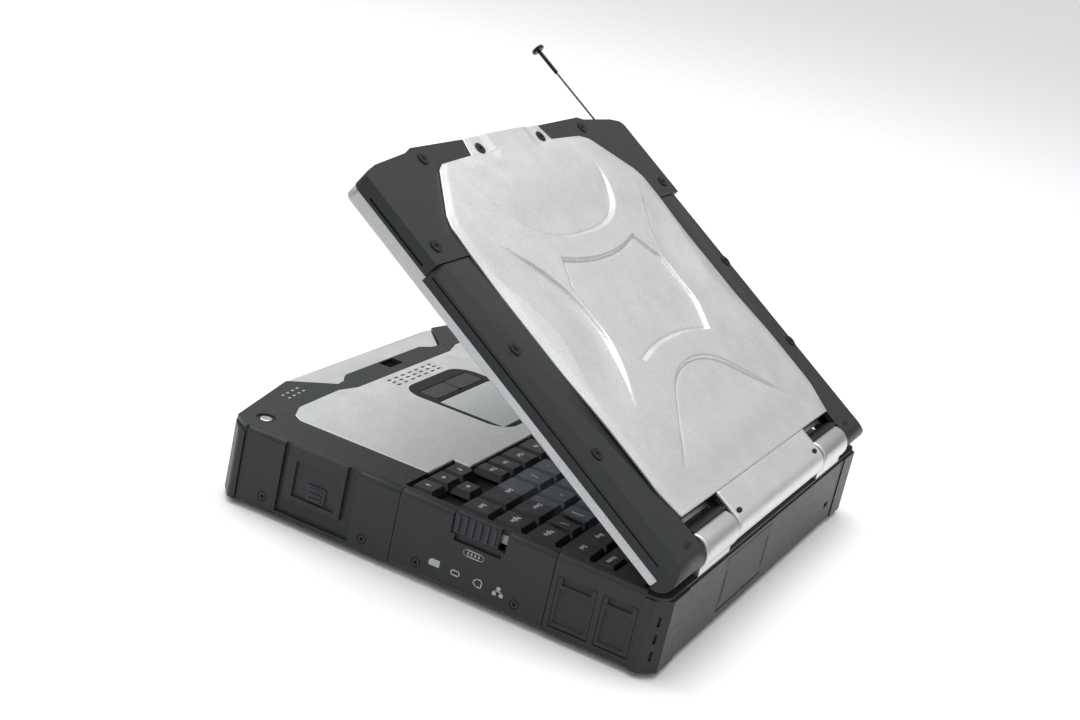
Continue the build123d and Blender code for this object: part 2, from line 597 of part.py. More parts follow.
LATCH_HALF = 20.0       # half the width of the latch's seat in the lid's top edge
HINGE_LEGS = ((56.0, 66.6), (115.4, 126.0))     # the frame's legs, which grip the shafts' ends
CORNER_R = 5.0          # rounding of the lid's outer top corners
bezel_outline = mirrored([(98, LID_TOP), (104, 239.2), (137.6, 235.8), (LID_HALF, 232.4), (LID_HALF, -0.7),
                          (126.6, -0.7), (126.6, 13)])
with BuildPart() as display_bezel:
    prism(lid_plane(FACE_W), bezel_outline, RIM_W - 0.1 - FACE_W)
    for side in SIDES:
        corner = display_bezel.edges().filter_by(lambda edge: is_lid_corner(edge, side))
        fillet(corner, CORNER_R)
    screen_side = display_bezel.faces().filter_by(
        lambda face: face.normal_at().dot(lid_plane(0).z_dir) < -0.9)
    fillet(screen_side.edges(), 1.8)
    # the sides step in a little over the lower third
    for side in SIDES:
        step = sorted((side * (LID_HALF - 0.7), side * (LID_HALF + 1)))
        lid_block(step, (0, 70), (FACE_W - 1, 5), mode=Mode.SUBTRACT)
    lid_block((-LID_HALF + 2.5, LID_HALF - 2.5), (15.5, 232), (-5.4, 5), radius=8.5, mode=Mode.SUBTRACT)
    lid_block((-SCREEN_W / 2, SCREEN_W / 2), (SCREEN_V - SCREEN_H / 2, SCREEN_V + SCREEN_H / 2),
              (-12, 0), mode=Mode.SUBTRACT)
    lid_block((-LATCH_HALF, LATCH_HALF), (229.6, LID_TOP + 5), (-12, 5), mode=Mode.SUBTRACT)
    # notches in the lower wall for the frame's legs
    for side in SIDES:
        for near, far in HINGE_LEGS:
            leg = sorted((side * (near - 0.2), side * (far + 0.2)))
            lid_block(leg, (10, 17), (-5.4, 5), mode=Mode.SUBTRACT)
    for side in SIDES:
        # seat of the side guard's skirt
        seat = sorted((side * (LID_HALF - 0.7), side * (LID_HALF + 1)))
        lid_block(seat, (-5, 176.4), (SKIRT_W - 0.1, 1), mode=Mode.SUBTRACT)
save("display_bezel", display_bezel.part)

with BuildPart() as screen_panel:
    lid_block((-141, 141), (19, 229), (-4.1, 0))
save("screen_panel", screen_panel.part)

with BuildPart() as screen_glass:
    lid_block((-141, 141), (19, 229), (-5.3, -4.2))
save("screen_glass", screen_glass.part)

with BuildPart() as lid_frame:
    lid_block((-147, 147), (15.8, 231), (-5.2, -0.2), radius=8)
    lid_block((-141.4, 141.4), (18.6, 229.4), (-8, 2), mode=Mode.SUBTRACT)
    for side in SIDES:
        for near, far in HINGE_LEGS:
            ends = sorted((side * near, side * far))
            barrel(ends, 6.2)
            lid_block(ends, (0, 17), (-5.2, -0.2))
            barrel(ends, SHAFT_R, mode=Mode.SUBTRACT)
save("lid_frame", lid_frame.part)

# The guards wrap the lid's edge: a flange on the back and a wall round the side.
FLANGE = 3.0
side_guard = [(118.5, 176.2), (118.5, 33), (116.5, 26), (114.2, NOTCH_V), (114.2, 0), (LID_HALF, 0),
              (LID_HALF, 176.2)]
corner_guard = [(44.2, LID_TOP), (47.9, 230.6), (81.8, 229), (88.6, 226), (114, 199.6), (117.6, 192.6),
                (118.5, 176.6), (LID_HALF + 0.6, 176.6), (LID_HALF + 0.6, 232.6), (137.6, 236), (104, 239.4),
                (98, LID_TOP + 0.6)]

with BuildPart() as lid_side_guards:
    for side in SIDES:
        prism(lid_plane(GUARD_W), [(side * u, v) for u, v in side_guard], -FLANGE)
        wall = sorted((side * (LID_HALF - 4), side * LID_HALF))
        lid_block(wall, (0, 176.2), (RIM_W, GUARD_W - FLANGE))
        # rounded lower end about the hinge axis
        ends = sorted((side * 114.2, side * LID_HALF))
        barrel(ends, GUARD_W)
        barrel(sorted((side * 113, side * (LID_HALF - 4))), GUARD_W - 1.6, mode=Mode.SUBTRACT)
        lid_block(sorted((side * 113, side * (LID_HALF - 4))), (-1, 16), (-12, GUARD_W - FLANGE),
                  mode=Mode.SUBTRACT)
        # the rim's lower edge of the bezel runs on beside the round end
        lid_block(ends, (-0.9, 20), (-12, RIM_W), mode=Mode.SUBTRACT)
        bevel = [(143.5, -GUARD_W), (LID_HALF, -4.2), (LID_HALF + 9, -4.2), (LID_HALF + 9, -GUARD_W - 4),
                 (143.5, -GUARD_W - 4)]
        prism(across_lid(-12), [(side * u, w) for u, w in bevel], 200, mode=Mode.SUBTRACT)
        groove = sorted((side * (LID_HALF - 0.8), side * (LID_HALF + 1)))
        lid_block(groove, (4, 174), (1.8, 2.8), mode=Mode.SUBTRACT)
        # a thin skirt that laps over the bezel's side
        skirt = sorted((side * (LID_HALF - 0.6), side * LID_HALF))
        lid_block(skirt, (-0.9, 176.2), (SKIRT_W, RIM_W + 1))
save("lid_side_guards", lid_side_guards.part)

with BuildPart() as lid_corner_guards:
    for side in SIDES:
        outline = [(side * u, v) for u, v in corner_guard]
        prism(lid_plane(RIM_W), outline, GUARD_W + 0.7 - RIM_W)
        corner = lid_corner_guards.edges().filter_by(lambda edge: is_lid_corner(edge, side))
        fillet(corner, CORNER_R)
        cavity = [(30, 236), (30, 200), (119, 160), (LID_HALF - 2.6, 160), (LID_HALF - 2.6, 226),
                  (144, 231), (136.6, 233), (98, 237)]
        prism(lid_plane(RIM_W - 3), [(side * u, v) for u, v in cavity], GUARD_W - FLANGE + 3,
              mode=Mode.SUBTRACT)
        groove = sorted((side * (LID_HALF - 0.4), side * (LID_HALF + 3)))
        lid_block(groove, (181, 222), (1.8, 3.2), mode=Mode.SUBTRACT)
    # bore that the antenna slides through
    lid_bar(228, 245, ANTENNA_X, ANTENNA_W, SLEEVE_R + 0.3, mode=Mode.SUBTRACT)
save("lid_corner_guards", lid_corner_guards.part)

cover_outline = mirrored([(43.9, LID_TOP), (47.6, 230.3), (81.6, 228.7), (88.3, 225.7), (113.7, 199.4),
                          (117.3, 192.5), (118.2, 176.4), (118.2, 33), (116.2, 26.2), (113.9, NOTCH_V),
                          (TONGUE_X, NOTCH_V), (TONGUE_X, 0)])
shield = mirrored([(0, 98.8), (22, 97), (40.5, 92.5), (53.5, 106.5), (53.5, 147.5), (40.5, 160.5),
                   (20, 156.2), (0, 154.6)])

with BuildPart() as lid_back_cover:
    prism(lid_plane(COVER_W), cover_outline, -2.2)
    barrel((-TONGUE_X, TONGUE_X), BARREL_R)
    barrel((-TONGUE_X - 1, TONGUE_X + 1), BARREL_R - 2, mode=Mode.SUBTRACT)
    lid_block((-TONGUE_X - 1, TONGUE_X + 1), (-1, 12), (-12, COVER_W - 2.2), mode=Mode.SUBTRACT)
    prism(lid_plane(COVER_W - 0.8), shield, 3, mode=Mode.SUBTRACT)
save("lid_back_cover", lid_back_cover.part)

LID_SCREWS = [(36, 233, COVER_W), (94, 234, GUARD_W + 0.7), (140, 186, GUARD_W + 0.7), (140.3, 124, GUARD_W),
              (140.3, 62, GUARD_W)]
with BuildPart() as lid_screws:
    for side in SIDES:
        for u, v, w in LID_SCREWS:
            with BuildSketch(lid_plane(w)) as head:
                with Locations((side * u, v)):
                    Circle(2.2)
            extrude(head.sketch, amount=0.5)
            with BuildSketch(lid_plane(w + 0.5)) as drive_slot:
                with Locations((side * u, v)):
                    RegularPolygon(1.1, 6)
            extrude(drive_slot.sketch, amount=-0.4, mode=Mode.SUBTRACT)
save("lid_screws", lid_screws.part)

# ---------------------------------------------------------------- lid latch and antenna
with BuildPart() as lid_latch:
    lid_block((-LATCH_HALF + 0.5, LATCH_HALF - 0.5), (LID_TOP - 2.4, LID_TOP), (FACE_W + 0.2, RIM_W - 0.4))
    lid_block((-LATCH_HALF + 0.5, LATCH_HALF - 0.5), (233, LID_TOP - 2.4), (FACE_W + 0.2, FACE_W + 2))
    lid_block((-6, 6), (233.6, 235.8), (FACE_W - 3.6, FACE_W + 0.4))
    lid_block((-6, 6), (235.8, 237), (FACE_W - 3.6, FACE_W - 2.2))
save("lid_latch", lid_latch.part)

with BuildPart() as antenna_rod:
    lid_bar(190, SLEEVE_V - 0.1, ANTENNA_X, ANTENNA_W, ROD_R)
save("antenna_rod", antenna_rod.part)

with BuildPart() as antenna_tip:
    lid_bar(SLEEVE_V, ANTENNA_TIP - 2.3, ANTENNA_X, ANTENNA_W, SLEEVE_R)
    lid_bar(ANTENNA_TIP - 2.3, ANTENNA_TIP, ANTENNA_X, ANTENNA_W, KNOB_R)
    rims = antenna_tip.edges().filter_by(GeomType.CIRCLE).filter_by(lambda edge: edge.radius > 3)
    fillet(rims, 0.7)
save("antenna_tip", antenna_tip.part)
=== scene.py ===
"""The looks of the rugged laptop computer: materials, embossed lid, key legends, icons and studio.

Everything is in metres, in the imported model's own frame. Lengths written in millimetres are scaled by MM.
"""

import json
from math import cos, pi, radians, sin

import bmesh
import bpy
import numpy as np
from mathutils import Matrix, Vector


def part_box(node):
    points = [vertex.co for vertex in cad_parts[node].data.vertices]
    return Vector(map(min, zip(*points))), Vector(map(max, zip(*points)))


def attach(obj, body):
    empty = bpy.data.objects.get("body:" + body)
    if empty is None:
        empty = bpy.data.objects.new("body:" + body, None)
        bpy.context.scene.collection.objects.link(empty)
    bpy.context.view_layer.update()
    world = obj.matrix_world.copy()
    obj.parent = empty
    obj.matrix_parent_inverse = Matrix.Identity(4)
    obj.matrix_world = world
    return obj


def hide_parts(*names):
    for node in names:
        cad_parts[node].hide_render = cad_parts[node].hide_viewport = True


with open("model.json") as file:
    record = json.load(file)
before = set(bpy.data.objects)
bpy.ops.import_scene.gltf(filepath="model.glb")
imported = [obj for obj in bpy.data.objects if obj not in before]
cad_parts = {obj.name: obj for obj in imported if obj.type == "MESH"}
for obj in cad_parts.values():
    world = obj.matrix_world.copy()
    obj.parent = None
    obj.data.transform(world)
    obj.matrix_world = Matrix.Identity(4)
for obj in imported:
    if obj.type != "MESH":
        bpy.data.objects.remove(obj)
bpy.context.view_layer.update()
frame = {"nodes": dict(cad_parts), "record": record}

MM = 0.001
SIDES = (1, -1)
nodes = frame["nodes"]
joints = {joint["name"]: joint for joint in frame["record"]["behaviour"]["joints"]}
HINGE = Vector(joints["lid_hinge"]["pos_m"])
LID_ANGLE = radians(-joints["lid_hinge"]["range_deg"][0])
LID_UP = Vector((0, -cos(LID_ANGLE), sin(LID_ANGLE)))
LID_OUT = Vector((0, sin(LID_ANGLE), cos(LID_ANGLE)))


def lid_point(x, up, out):
    """A point of the lid, in millimetres from the hinge axis: across, up the lid and outwards."""
    return Vector((x * MM, HINGE.y, HINGE.z)) + (LID_UP * up + LID_OUT * out) * MM


# ---------------------------------------------------------------- camera
CAMERA_PLACE = Vector((0.8684, 0.3440, 0.3882))
CAMERA_FORWARD = Vector((-0.8758, -0.3669, -0.3136))
CAMERA_UP = Vector((-0.1962, -0.3231, 0.9258))
CAMERA_LENS = 59.73


def add_camera():
    """The camera at the photograph's viewing angle, rolled a little about its own axis."""
    data = bpy.data.cameras.new("camera")
    data.sensor_width = 36
    data.lens = CAMERA_LENS
    data.clip_start = 0.01
    camera = bpy.data.objects.new("camera", data)
    backward = -CAMERA_FORWARD.normalized()
    right = CAMERA_UP.cross(backward).normalized()
    up = backward.cross(right)
    turn = Matrix((right, up, backward)).transposed().to_4x4()
    camera.matrix_world = Matrix.Translation(CAMERA_PLACE) @ turn
    bpy.context.scene.collection.objects.link(camera)
    bpy.context.scene.camera = camera


# ---------------------------------------------------------------- materials
MIX_FIRST, MIX_SECOND, MIX_RESULT = 6, 7, 2     # the mix node's colour sockets


class Surface:
    """A Principled material that is built up a layer at a time."""

    def __init__(self, name, colour, roughness, metallic=0.0, **sockets):
        self.material = bpy.data.materials.new(name)
        self.material.use_nodes = True
        self.tree = self.material.node_tree
        self.shader = self.tree.nodes["Principled BSDF"]
        self.colour = (*colour, 1.0)
        self.shader.inputs["Base Color"].default_value = self.colour
        self.shader.inputs["Roughness"].default_value = roughness
        self.shader.inputs["Metallic"].default_value = metallic
        for socket, value in sockets.items():
            self.shader.inputs[socket.replace("_", " ")].default_value = value
        self.place = self.node("ShaderNodeTexCoord").outputs["Object"]
        self.normal = None

    def node(self, kind, **inputs):
        """Add a node and set or link its inputs."""
        node = self.tree.nodes.new(kind)
        for socket, value in inputs.items():
            self.put(node.inputs[socket.replace("_", " ")], value)
        return node

    def put(self, socket, value):
        """Link a value that comes from a node, or set a plain one."""
        if isinstance(value, bpy.types.NodeSocket):
            self.tree.links.new(value, socket)
        else:
            socket.default_value = value

    def noise(self, size_mm, detail=3.0, stretch=(1, 1, 1)):
        """Noise with features of about that size; a stretch under 1 draws them out along that axis."""
        place = self.node("ShaderNodeMapping", Vector=self.place, Scale=stretch).outputs["Vector"]
        texture = self.node("ShaderNodeTexNoise", Vector=place, Scale=1 / (size_mm * MM), Detail=detail)
        return texture.outputs["Fac"]

    def remap(self, value, low, high, new_low, new_high):
        """Move a value from one range to another, held within it."""
        node = self.node("ShaderNodeMapRange", Value=value)
        sockets = ("From Min", "From Max", "To Min", "To Max")
        for socket, number in zip(sockets, (low, high, new_low, new_high)):
            node.inputs[socket].default_value = number
        return node.outputs["Result"]

    def mix(self, factor, first, second):
        """Mix two colours."""
        node = self.tree.nodes.new("ShaderNodeMix")
        node.data_type = "RGBA"
        self.put(node.inputs["Factor"], factor)
        self.put(node.inputs[MIX_FIRST], first)
        self.put(node.inputs[MIX_SECOND], second)
        return node.outputs[MIX_RESULT]

    def shade(self, factor, light):
        """Where the factor is 1, the colour is multiplied by light."""
        base = self.shader.inputs["Base Color"]
        now = base.links[0].from_socket if base.is_linked else self.colour
        other = tuple(min(1.0, channel * light) for channel in self.colour[:3]) + (1.0,)
        self.put(base, self.mix(factor, now, other))
        return self

    def vary_roughness(self, factor, low, high):
        """Let the roughness run between two values with a factor."""
        self.put(self.shader.inputs["Roughness"], self.remap(factor, 0.3, 0.7, low, high))
        return self

    def bump(self, height, depth_mm, strength=1.0):
        """Add relief of that depth, over the relief that is already there."""
        node = self.node("ShaderNodeBump", Height=height, Strength=strength, Distance=depth_mm * MM)
        if self.normal:
            self.put(node.inputs["Normal"], self.normal)
        self.normal = node.outputs["Normal"]
        self.put(self.shader.inputs["Normal"], self.normal)
        return self


def metallic_paint(name, colour, roughness=0.38):
    """Silver paint with fine bright flakes over a slightly uneven coat."""
    paint = Surface(name, colour, roughness, metallic=0.62, Coat_Weight=0.18, Coat_Roughness=0.3)
    flake = paint.noise(0.5, detail=1.0)
    paint.shade(paint.remap(flake, 0.52, 0.74, 0.0, 1.0), 1.28)
    paint.shade(paint.remap(flake, 0.46, 0.30, 0.0, 0.55), 0.78)
    paint.vary_roughness(paint.noise(14, detail=2.0), roughness - 0.05, roughness + 0.06)
    paint.bump(flake, 0.02, 0.45)
    return paint.bump(paint.noise(1.6, detail=2.0), 0.012, 0.35).material


def moulded_plastic(name, colour, roughness=0.48, grain_mm=0.45, depth_mm=0.03):
    """Dark plastic with an even moulded grain and faint handling marks."""
    plastic = Surface(name, colour, roughness, Specular_IOR_Level=0.24)
    grain = plastic.noise(grain_mm, detail=2.0)
    plastic.shade(plastic.remap(grain, 0.5, 0.75, 0.0, 0.6), 1.45)
    plastic.shade(plastic.remap(plastic.noise(22, detail=4.0), 0.5, 0.72, 0.0, 0.3), 1.12)
    plastic.vary_roughness(plastic.noise(4, detail=5.0), roughness - 0.03, roughness + 0.05)
    return plastic.bump(grain, depth_mm, 0.55).material


def rubber(name, colour):
    """Matt rubber with a dusty bloom."""
    skin = Surface(name, colour, 0.62, Specular_IOR_Level=0.4, Sheen_Weight=0.12, Sheen_Roughness=0.5)
    skin.shade(skin.remap(skin.noise(6, detail=5.0), 0.48, 0.7, 0.0, 0.6), 1.5)
    return skin.bump(skin.noise(0.7, detail=3.0), 0.03, 0.5).material


def satin_metal(name, colour, roughness=0.3, stretch=(0.04, 1, 1), line_mm=0.35):
    """Turned or brushed metal, its fine lines drawn out along one axis."""
    metal = Surface(name, colour, roughness, metallic=0.95, Anisotropic=0.35)
    lines = metal.noise(line_mm, detail=2.0, stretch=stretch)
    metal.shade(metal.remap(lines, 0.35, 0.65, 0.0, 0.5), 0.84)
    metal.vary_roughness(lines, roughness - 0.06, roughness + 0.08)
    return metal.bump(lines, 0.008, 0.4).material


def key_plastic():
    """Black key caps, with a slate grey block of keys over three rows on the right."""
    keys = Surface("key_caps", (0.008, 0.009, 0.0105), 0.34, Specular_IOR_Level=0.5)
    axes = keys.node("ShaderNodeSeparateXYZ", Vector=keys.place)
    pad_low, pad_high = 47 * MM, 104.5 * MM
    row_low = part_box("shift_row_keys")[0][1]
    row_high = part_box("upper_row_keys")[1][1]
    inside = None
    for socket, low, high in ((axes.outputs["X"], pad_low, pad_high), (axes.outputs["Y"], row_low, row_high)):
        for operation, edge in (("GREATER_THAN", low), ("LESS_THAN", high)):
            test = keys.tree.nodes.new("ShaderNodeMath")
            test.operation = operation
            keys.put(test.inputs[0], socket)
            test.inputs[1].default_value = edge
            if inside is None:
                inside = test.outputs[0]
            else:
                both = keys.tree.nodes.new("ShaderNodeMath")
                both.operation = "MULTIPLY"
                keys.put(both.inputs[0], inside)
                keys.put(both.inputs[1], test.outputs[0])
                inside = both.outputs[0]
    slate = keys.mix(inside, keys.colour, (0.062, 0.078, 0.102, 1.0))
    keys.put(keys.shader.inputs["Base Color"], slate)
    keys.vary_roughness(keys.noise(5, detail=4.0), 0.30, 0.44)
    return keys.bump(keys.noise(0.35, detail=2.0), 0.012, 0.5).material


def dark_screen():
    """The panel behind the glass, switched off, with the faint grid of its pixels."""
    panel = Surface("screen_panel", (0.010, 0.011, 0.014), 0.34, Specular_IOR_Level=0.5)
    panel.shade(panel.remap(panel.noise(0.3, detail=0.0), 0.45, 0.6, 0.0, 0.6), 1.5)
    return panel.bump(panel.noise(0.3, detail=0.0), 0.006, 0.3).material


def clear_glass():
    """Thin cover glass with a slight haze of touch marks."""
    glass = Surface("screen_glass", (0.9, 0.93, 0.96), 0.06, Alpha=0.22, IOR=1.5, Coat_Weight=0.4)
    glass.vary_roughness(glass.noise(18, detail=4.0), 0.04, 0.12)
    return glass.material


def circuit_board():
    """Green solder mask over copper tracks."""
    board = Surface("circuit_board", (0.012, 0.085, 0.045), 0.42)
    board.shade(board.remap(board.noise(3, detail=1.0, stretch=(0.2, 1, 1)), 0.5, 0.54, 0.0, 1.0), 1.6)
    return board.bump(board.noise(1.0, detail=1.0), 0.03, 0.5).material


def printed_ink(name, colour):
    """Printed marks, a little worn."""
    ink = Surface(name, colour, 0.5)
    ink.shade(ink.remap(ink.noise(0.6, detail=3.0), 0.5, 0.75, 0.0, 1.0), 0.72)
    return ink.bump(ink.noise(0.4, detail=2.0), 0.01, 0.4).material


SILVER = metallic_paint("silver_paint", (0.66, 0.67, 0.68))
BEZEL_SILVER = metallic_paint("bezel_silver", (0.44, 0.45, 0.46), 0.42)
GRIP_SILVER = metallic_paint("grip_silver", (0.58, 0.59, 0.60), 0.42)
GUARD = moulded_plastic("dark_guard", (0.019, 0.0215, 0.0235), 0.42)
BASE = moulded_plastic("base_dark", (0.025, 0.028, 0.0298), 0.42)
PORT_RUBBER = rubber("port_rubber", (0.015, 0.0165, 0.018))
FOOT_RUBBER = rubber("foot_rubber", (0.014, 0.014, 0.014))
KNUCKLE = satin_metal("knuckle_satin", (0.66, 0.67, 0.68), 0.36)
STEEL = satin_metal("machined_steel", (0.42, 0.43, 0.44), 0.28, stretch=(1, 0.05, 1))
CASTING = satin_metal("cast_frame", (0.30, 0.31, 0.32), 0.48, stretch=(1, 1, 1), line_mm=1.2)
MODULE = satin_metal("module_case", (0.28, 0.29, 0.30), 0.36, stretch=(1, 0.05, 1))
HEAT = satin_metal("heat_spreader", (0.50, 0.50, 0.51), 0.34, stretch=(0.05, 1, 1))
BLACK_STEEL = satin_metal("black_screws", (0.045, 0.045, 0.048), 0.34, stretch=(1, 1, 1))
ROD_METAL = satin_metal("antenna_metal", (0.10, 0.10, 0.105), 0.2, stretch=(1, 0.05, 0.05))
LATCH = moulded_plastic("latch_plastic", (0.030, 0.033, 0.037), 0.34, grain_mm=0.3)
TRAY = moulded_plastic("tray_black", (0.012, 0.012, 0.013), 0.6)
PAD = moulded_plastic("pad_grey", (0.50, 0.52, 0.52), 0.5, grain_mm=0.3, depth_mm=0.015)
PAD_BUTTON = moulded_plastic("pad_buttons", (0.040, 0.044, 0.048), 0.36, grain_mm=0.3)
BRIGHT = satin_metal("bright_button", (0.75, 0.76, 0.77), 0.16, stretch=(1, 1, 1), line_mm=0.8)
TIP_BLACK = moulded_plastic("antenna_tip", (0.008, 0.008, 0.009), 0.3, grain_mm=0.3, depth_mm=0.01)
BATTERY = moulded_plastic("battery_black", (0.02, 0.02, 0.022), 0.5)
CONNECTOR = moulded_plastic("connector_dark", (0.018, 0.018, 0.021), 0.4)
KEYS = key_plastic()
LEGEND = printed_ink("legend_ink", (0.78, 0.79, 0.80))
ICON = printed_ink("icon_ink", (0.42, 0.43, 0.44))
SCREEN = dark_screen()
GLASS = clear_glass()
BOARD = circuit_board()
# painted shade: a near-black finish for the rings and slots that stand for the shade in the lid's screw wells
SHADOW = moulded_plastic("screw_well_painted_shade", (0.006, 0.006, 0.007), 0.5, grain_mm=0.3)

SLOT_MATERIALS = {
    "silver_paint": SILVER, "grip_silver": GRIP_SILVER, "dark_guard": GUARD, "base_dark": BASE,
    "port_cover_rubber": PORT_RUBBER, "frame_metal": CASTING, "knuckle_satin": KNUCKLE, "steel": STEEL,
    "dark_screws": BLACK_STEEL, "latch_plastic": LATCH, "key_black": KEYS, "tray_black": TRAY,
    "pad_grey": PAD, "pad_buttons": PAD_BUTTON, "button_bright": BRIGHT, "feet_rubber": FOOT_RUBBER,
    "lcd": SCREEN, "cover_glass": GLASS, "board_green": BOARD, "heat_metal": HEAT, "module_case": MODULE,
    "battery_black": BATTERY, "connector_dark": CONNECTOR, "speaker_black": TRAY,
    "antenna_metal": ROD_METAL, "antenna_tip_black": TIP_BLACK,
}
# edge rounding of the carried-over nodes, in millimetres, where it isn't the usual one
USUAL_ROUND = 0.3
EDGE_ROUND = {
    "deck": 0.35, "lid_corner_guards": 1.1, "lid_side_guards": 0.5, "front_corner_guards": 1.2,
    "rear_corner_guards": 1.0, "drive_bay_cover": 0.4, "battery_bay_cover": 0.4, "connector_cover": 0.4,
    "palm_rest_plate": 0.0, "screen_glass": 0.0, "screen_panel": 0.0, "hinge_shafts": 0.0,
    "antenna_rod": 0.0, "antenna_tip": 0.0, "handle_grip": 0.8, "touchpad_surround": 0.25,
}
KEY_ROUND = 0.4


def dress_nodes():
    """Give every carried-over node its material, and round its sharp edges."""
    slots = {part["node"]: part["material_slot"] for part in frame["record"]["subparts"]}
    for name, node in nodes.items():
        node.data.materials.clear()
        node.data.materials.append(SLOT_MATERIALS[slots[name]])
        if name == "display_bezel":
            node.data.materials[0] = BEZEL_SILVER
        radius = KEY_ROUND if name.endswith("_keys") else EDGE_ROUND.get(name, USUAL_ROUND)
        if radius:
            weld = node.modifiers.new("weld", "WELD")
            weld.merge_threshold = 0.002 * MM
            rounding = node.modifiers.new("round", "BEVEL")
            rounding.width = radius * MM
            rounding.segments = 3 if radius > 0.5 else 2
            rounding.limit_method = "ANGLE"
            rounding.angle_limit = radians(32)
            rounding.harden_normals = True


# ---------------------------------------------------------------- mesh helpers
def add_piece(name, mesh, body, material, smooth=False):
    """Link a mesh as a piece that rides on a body."""
    piece = bpy.data.objects.new(name, mesh)
    bpy.context.scene.collection.objects.link(piece)
    mesh.materials.append(material)
    if smooth:
        mesh.shade_smooth()
    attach(piece, body)
    return piece


def mesh_from(name, builder):
    """A mesh from a bmesh."""
    mesh = bpy.data.meshes.new(name)
    builder.to_mesh(mesh)
    builder.free()
    return mesh


def solids_of(name):
    """Each separate solid of a node, as its lowest and highest corners, from left to right."""
    builder = bmesh.new()
    builder.from_mesh(nodes[name].data)
    bmesh.ops.remove_doubles(builder, verts=builder.verts, dist=1e-6)
    waiting = set(builder.verts)
    boxes = []
    while waiting:
        group, front = [], [waiting.pop()]
        while front:
            vertex = front.pop()
            group.append(vertex.co.copy())
            for edge in vertex.link_edges:
                other = edge.other_vert(vertex)
                if other in waiting:
                    waiting.remove(other)
                    front.append(other)
        low = Vector(min(point[axis] for point in group) for axis in range(3))
        high = Vector(max(point[axis] for point in group) for axis in range(3))
        boxes.append((low, high))
    builder.free()
    return sorted(boxes, key=lambda box: (box[0].x + box[1].x, box[0].y))


# ---------------------------------------------------------------- embossed lid cover
COVER_OUT = 9.4         # plane of the cover, outwards from the hinge axis
COVER_TOP = 241.0
BARREL_OUT = 9.0        # radius of the tongue's round end
NOTCH_UP = 15.6
TONGUE_HALF = 67.5
EDGE_POINTS = [(NOTCH_UP, 113.0), (26.2, 116.2), (33, 118.2), (176.4, 118.2), (192.5, 117.3), (199.4, 113.7),
               (225.7, 88.3), (228.7, 81.6), (230.3, 47.6), (241, 43.9)]
STEP = 0.78             # size of the cover's mesh
RELIEF = 1.9            # depth of the steps round the raised centre
SHIELD_DEPTH = 1.7
WALL = 0.85             # half width of a step's slope
CREASE = 0.45           # depth of the fine groove along a step's foot
SHEET = 1.6             # thickness of the pressed sheet


def smooth_step(low, high, value):
    """0 below low and 1 above high, with an easy curve between."""
    t = np.clip((value - low) / (high - low), 0, 1)
    return t * t * (3 - 2 * t)


def through(points, steps=10):
    """A smooth open curve through points."""
    points = np.array(points, float)
    padded = np.vstack((2 * points[0] - points[1], points, 2 * points[-1] - points[-2]))
    curve = []
    for a, b, c, d in zip(padded, padded[1:], padded[2:], padded[3:]):
        for t in np.arange(steps) / steps:
            curve.append(0.5 * (2 * b + (c - a) * t + (2 * a - 5 * b + 4 * c - d) * t ** 2
                                + (3 * b - a - 3 * c + d) * t ** 3))
    curve.append(points[-1])
    return np.array(curve)


def signed_distance(x, y, outline):
    """Distance to a closed outline, positive inside it."""
    nearest = np.full(x.shape, 1e9)
    inside = np.zeros(x.shape, bool)
    for (x1, y1), (x2, y2) in zip(outline, np.roll(outline, -1, axis=0)):
        dx, dy = x2 - x1, y2 - y1
        length = dx * dx + dy * dy
        if length < 1e-9:
            continue
        t = np.clip(((x - x1) * dx + (y - y1) * dy) / length, 0, 1)
        nearest = np.minimum(nearest, np.hypot(x - x1 - t * dx, y - y1 - t * dy))
        if y1 != y2:
            crosses = ((y1 > y) != (y2 > y)) & (x < dx * (y - y1) / dy + x1)
            inside ^= crosses
    return np.where(inside, nearest, -nearest)


HOOD = [(-72, 212), (-66, 196), (-55, 182), (-38, 173), (-20, 169), (0, 168.2), (20, 169), (38, 173),
        (55, 182), (66, 196), (72, 212)]
ARCH = [(90, 30), (72, 42), (52, 58), (34, 71.5), (18, 78), (0, 80), (-18, 78), (-34, 71.5), (-52, 58),
        (-72, 42), (-90, 30)]
FLANK = [(104, 190), (90, 175), (72, 155), (62.5, 135), (61.5, 112), (70, 92), (86, 70), (92, 56)]
SHIELD_TOP = [(-46, 158), (-24, 153.6), (0, 152), (24, 153.6), (46, 158)]
SHIELD_SIDE = [(46, 158), (54, 146), (58.5, 138), (58.5, 112), (54, 102), (46, 90.5)]
SHIELD_FOOT = [(46, 90.5), (24, 94.6), (0, 96), (-24, 94.6), (-46, 90.5)]


def crease(distance):
    """Depth of the fine groove just inside a step."""
    return CREASE * np.exp(-((distance - 0.9) / 0.7) ** 2)


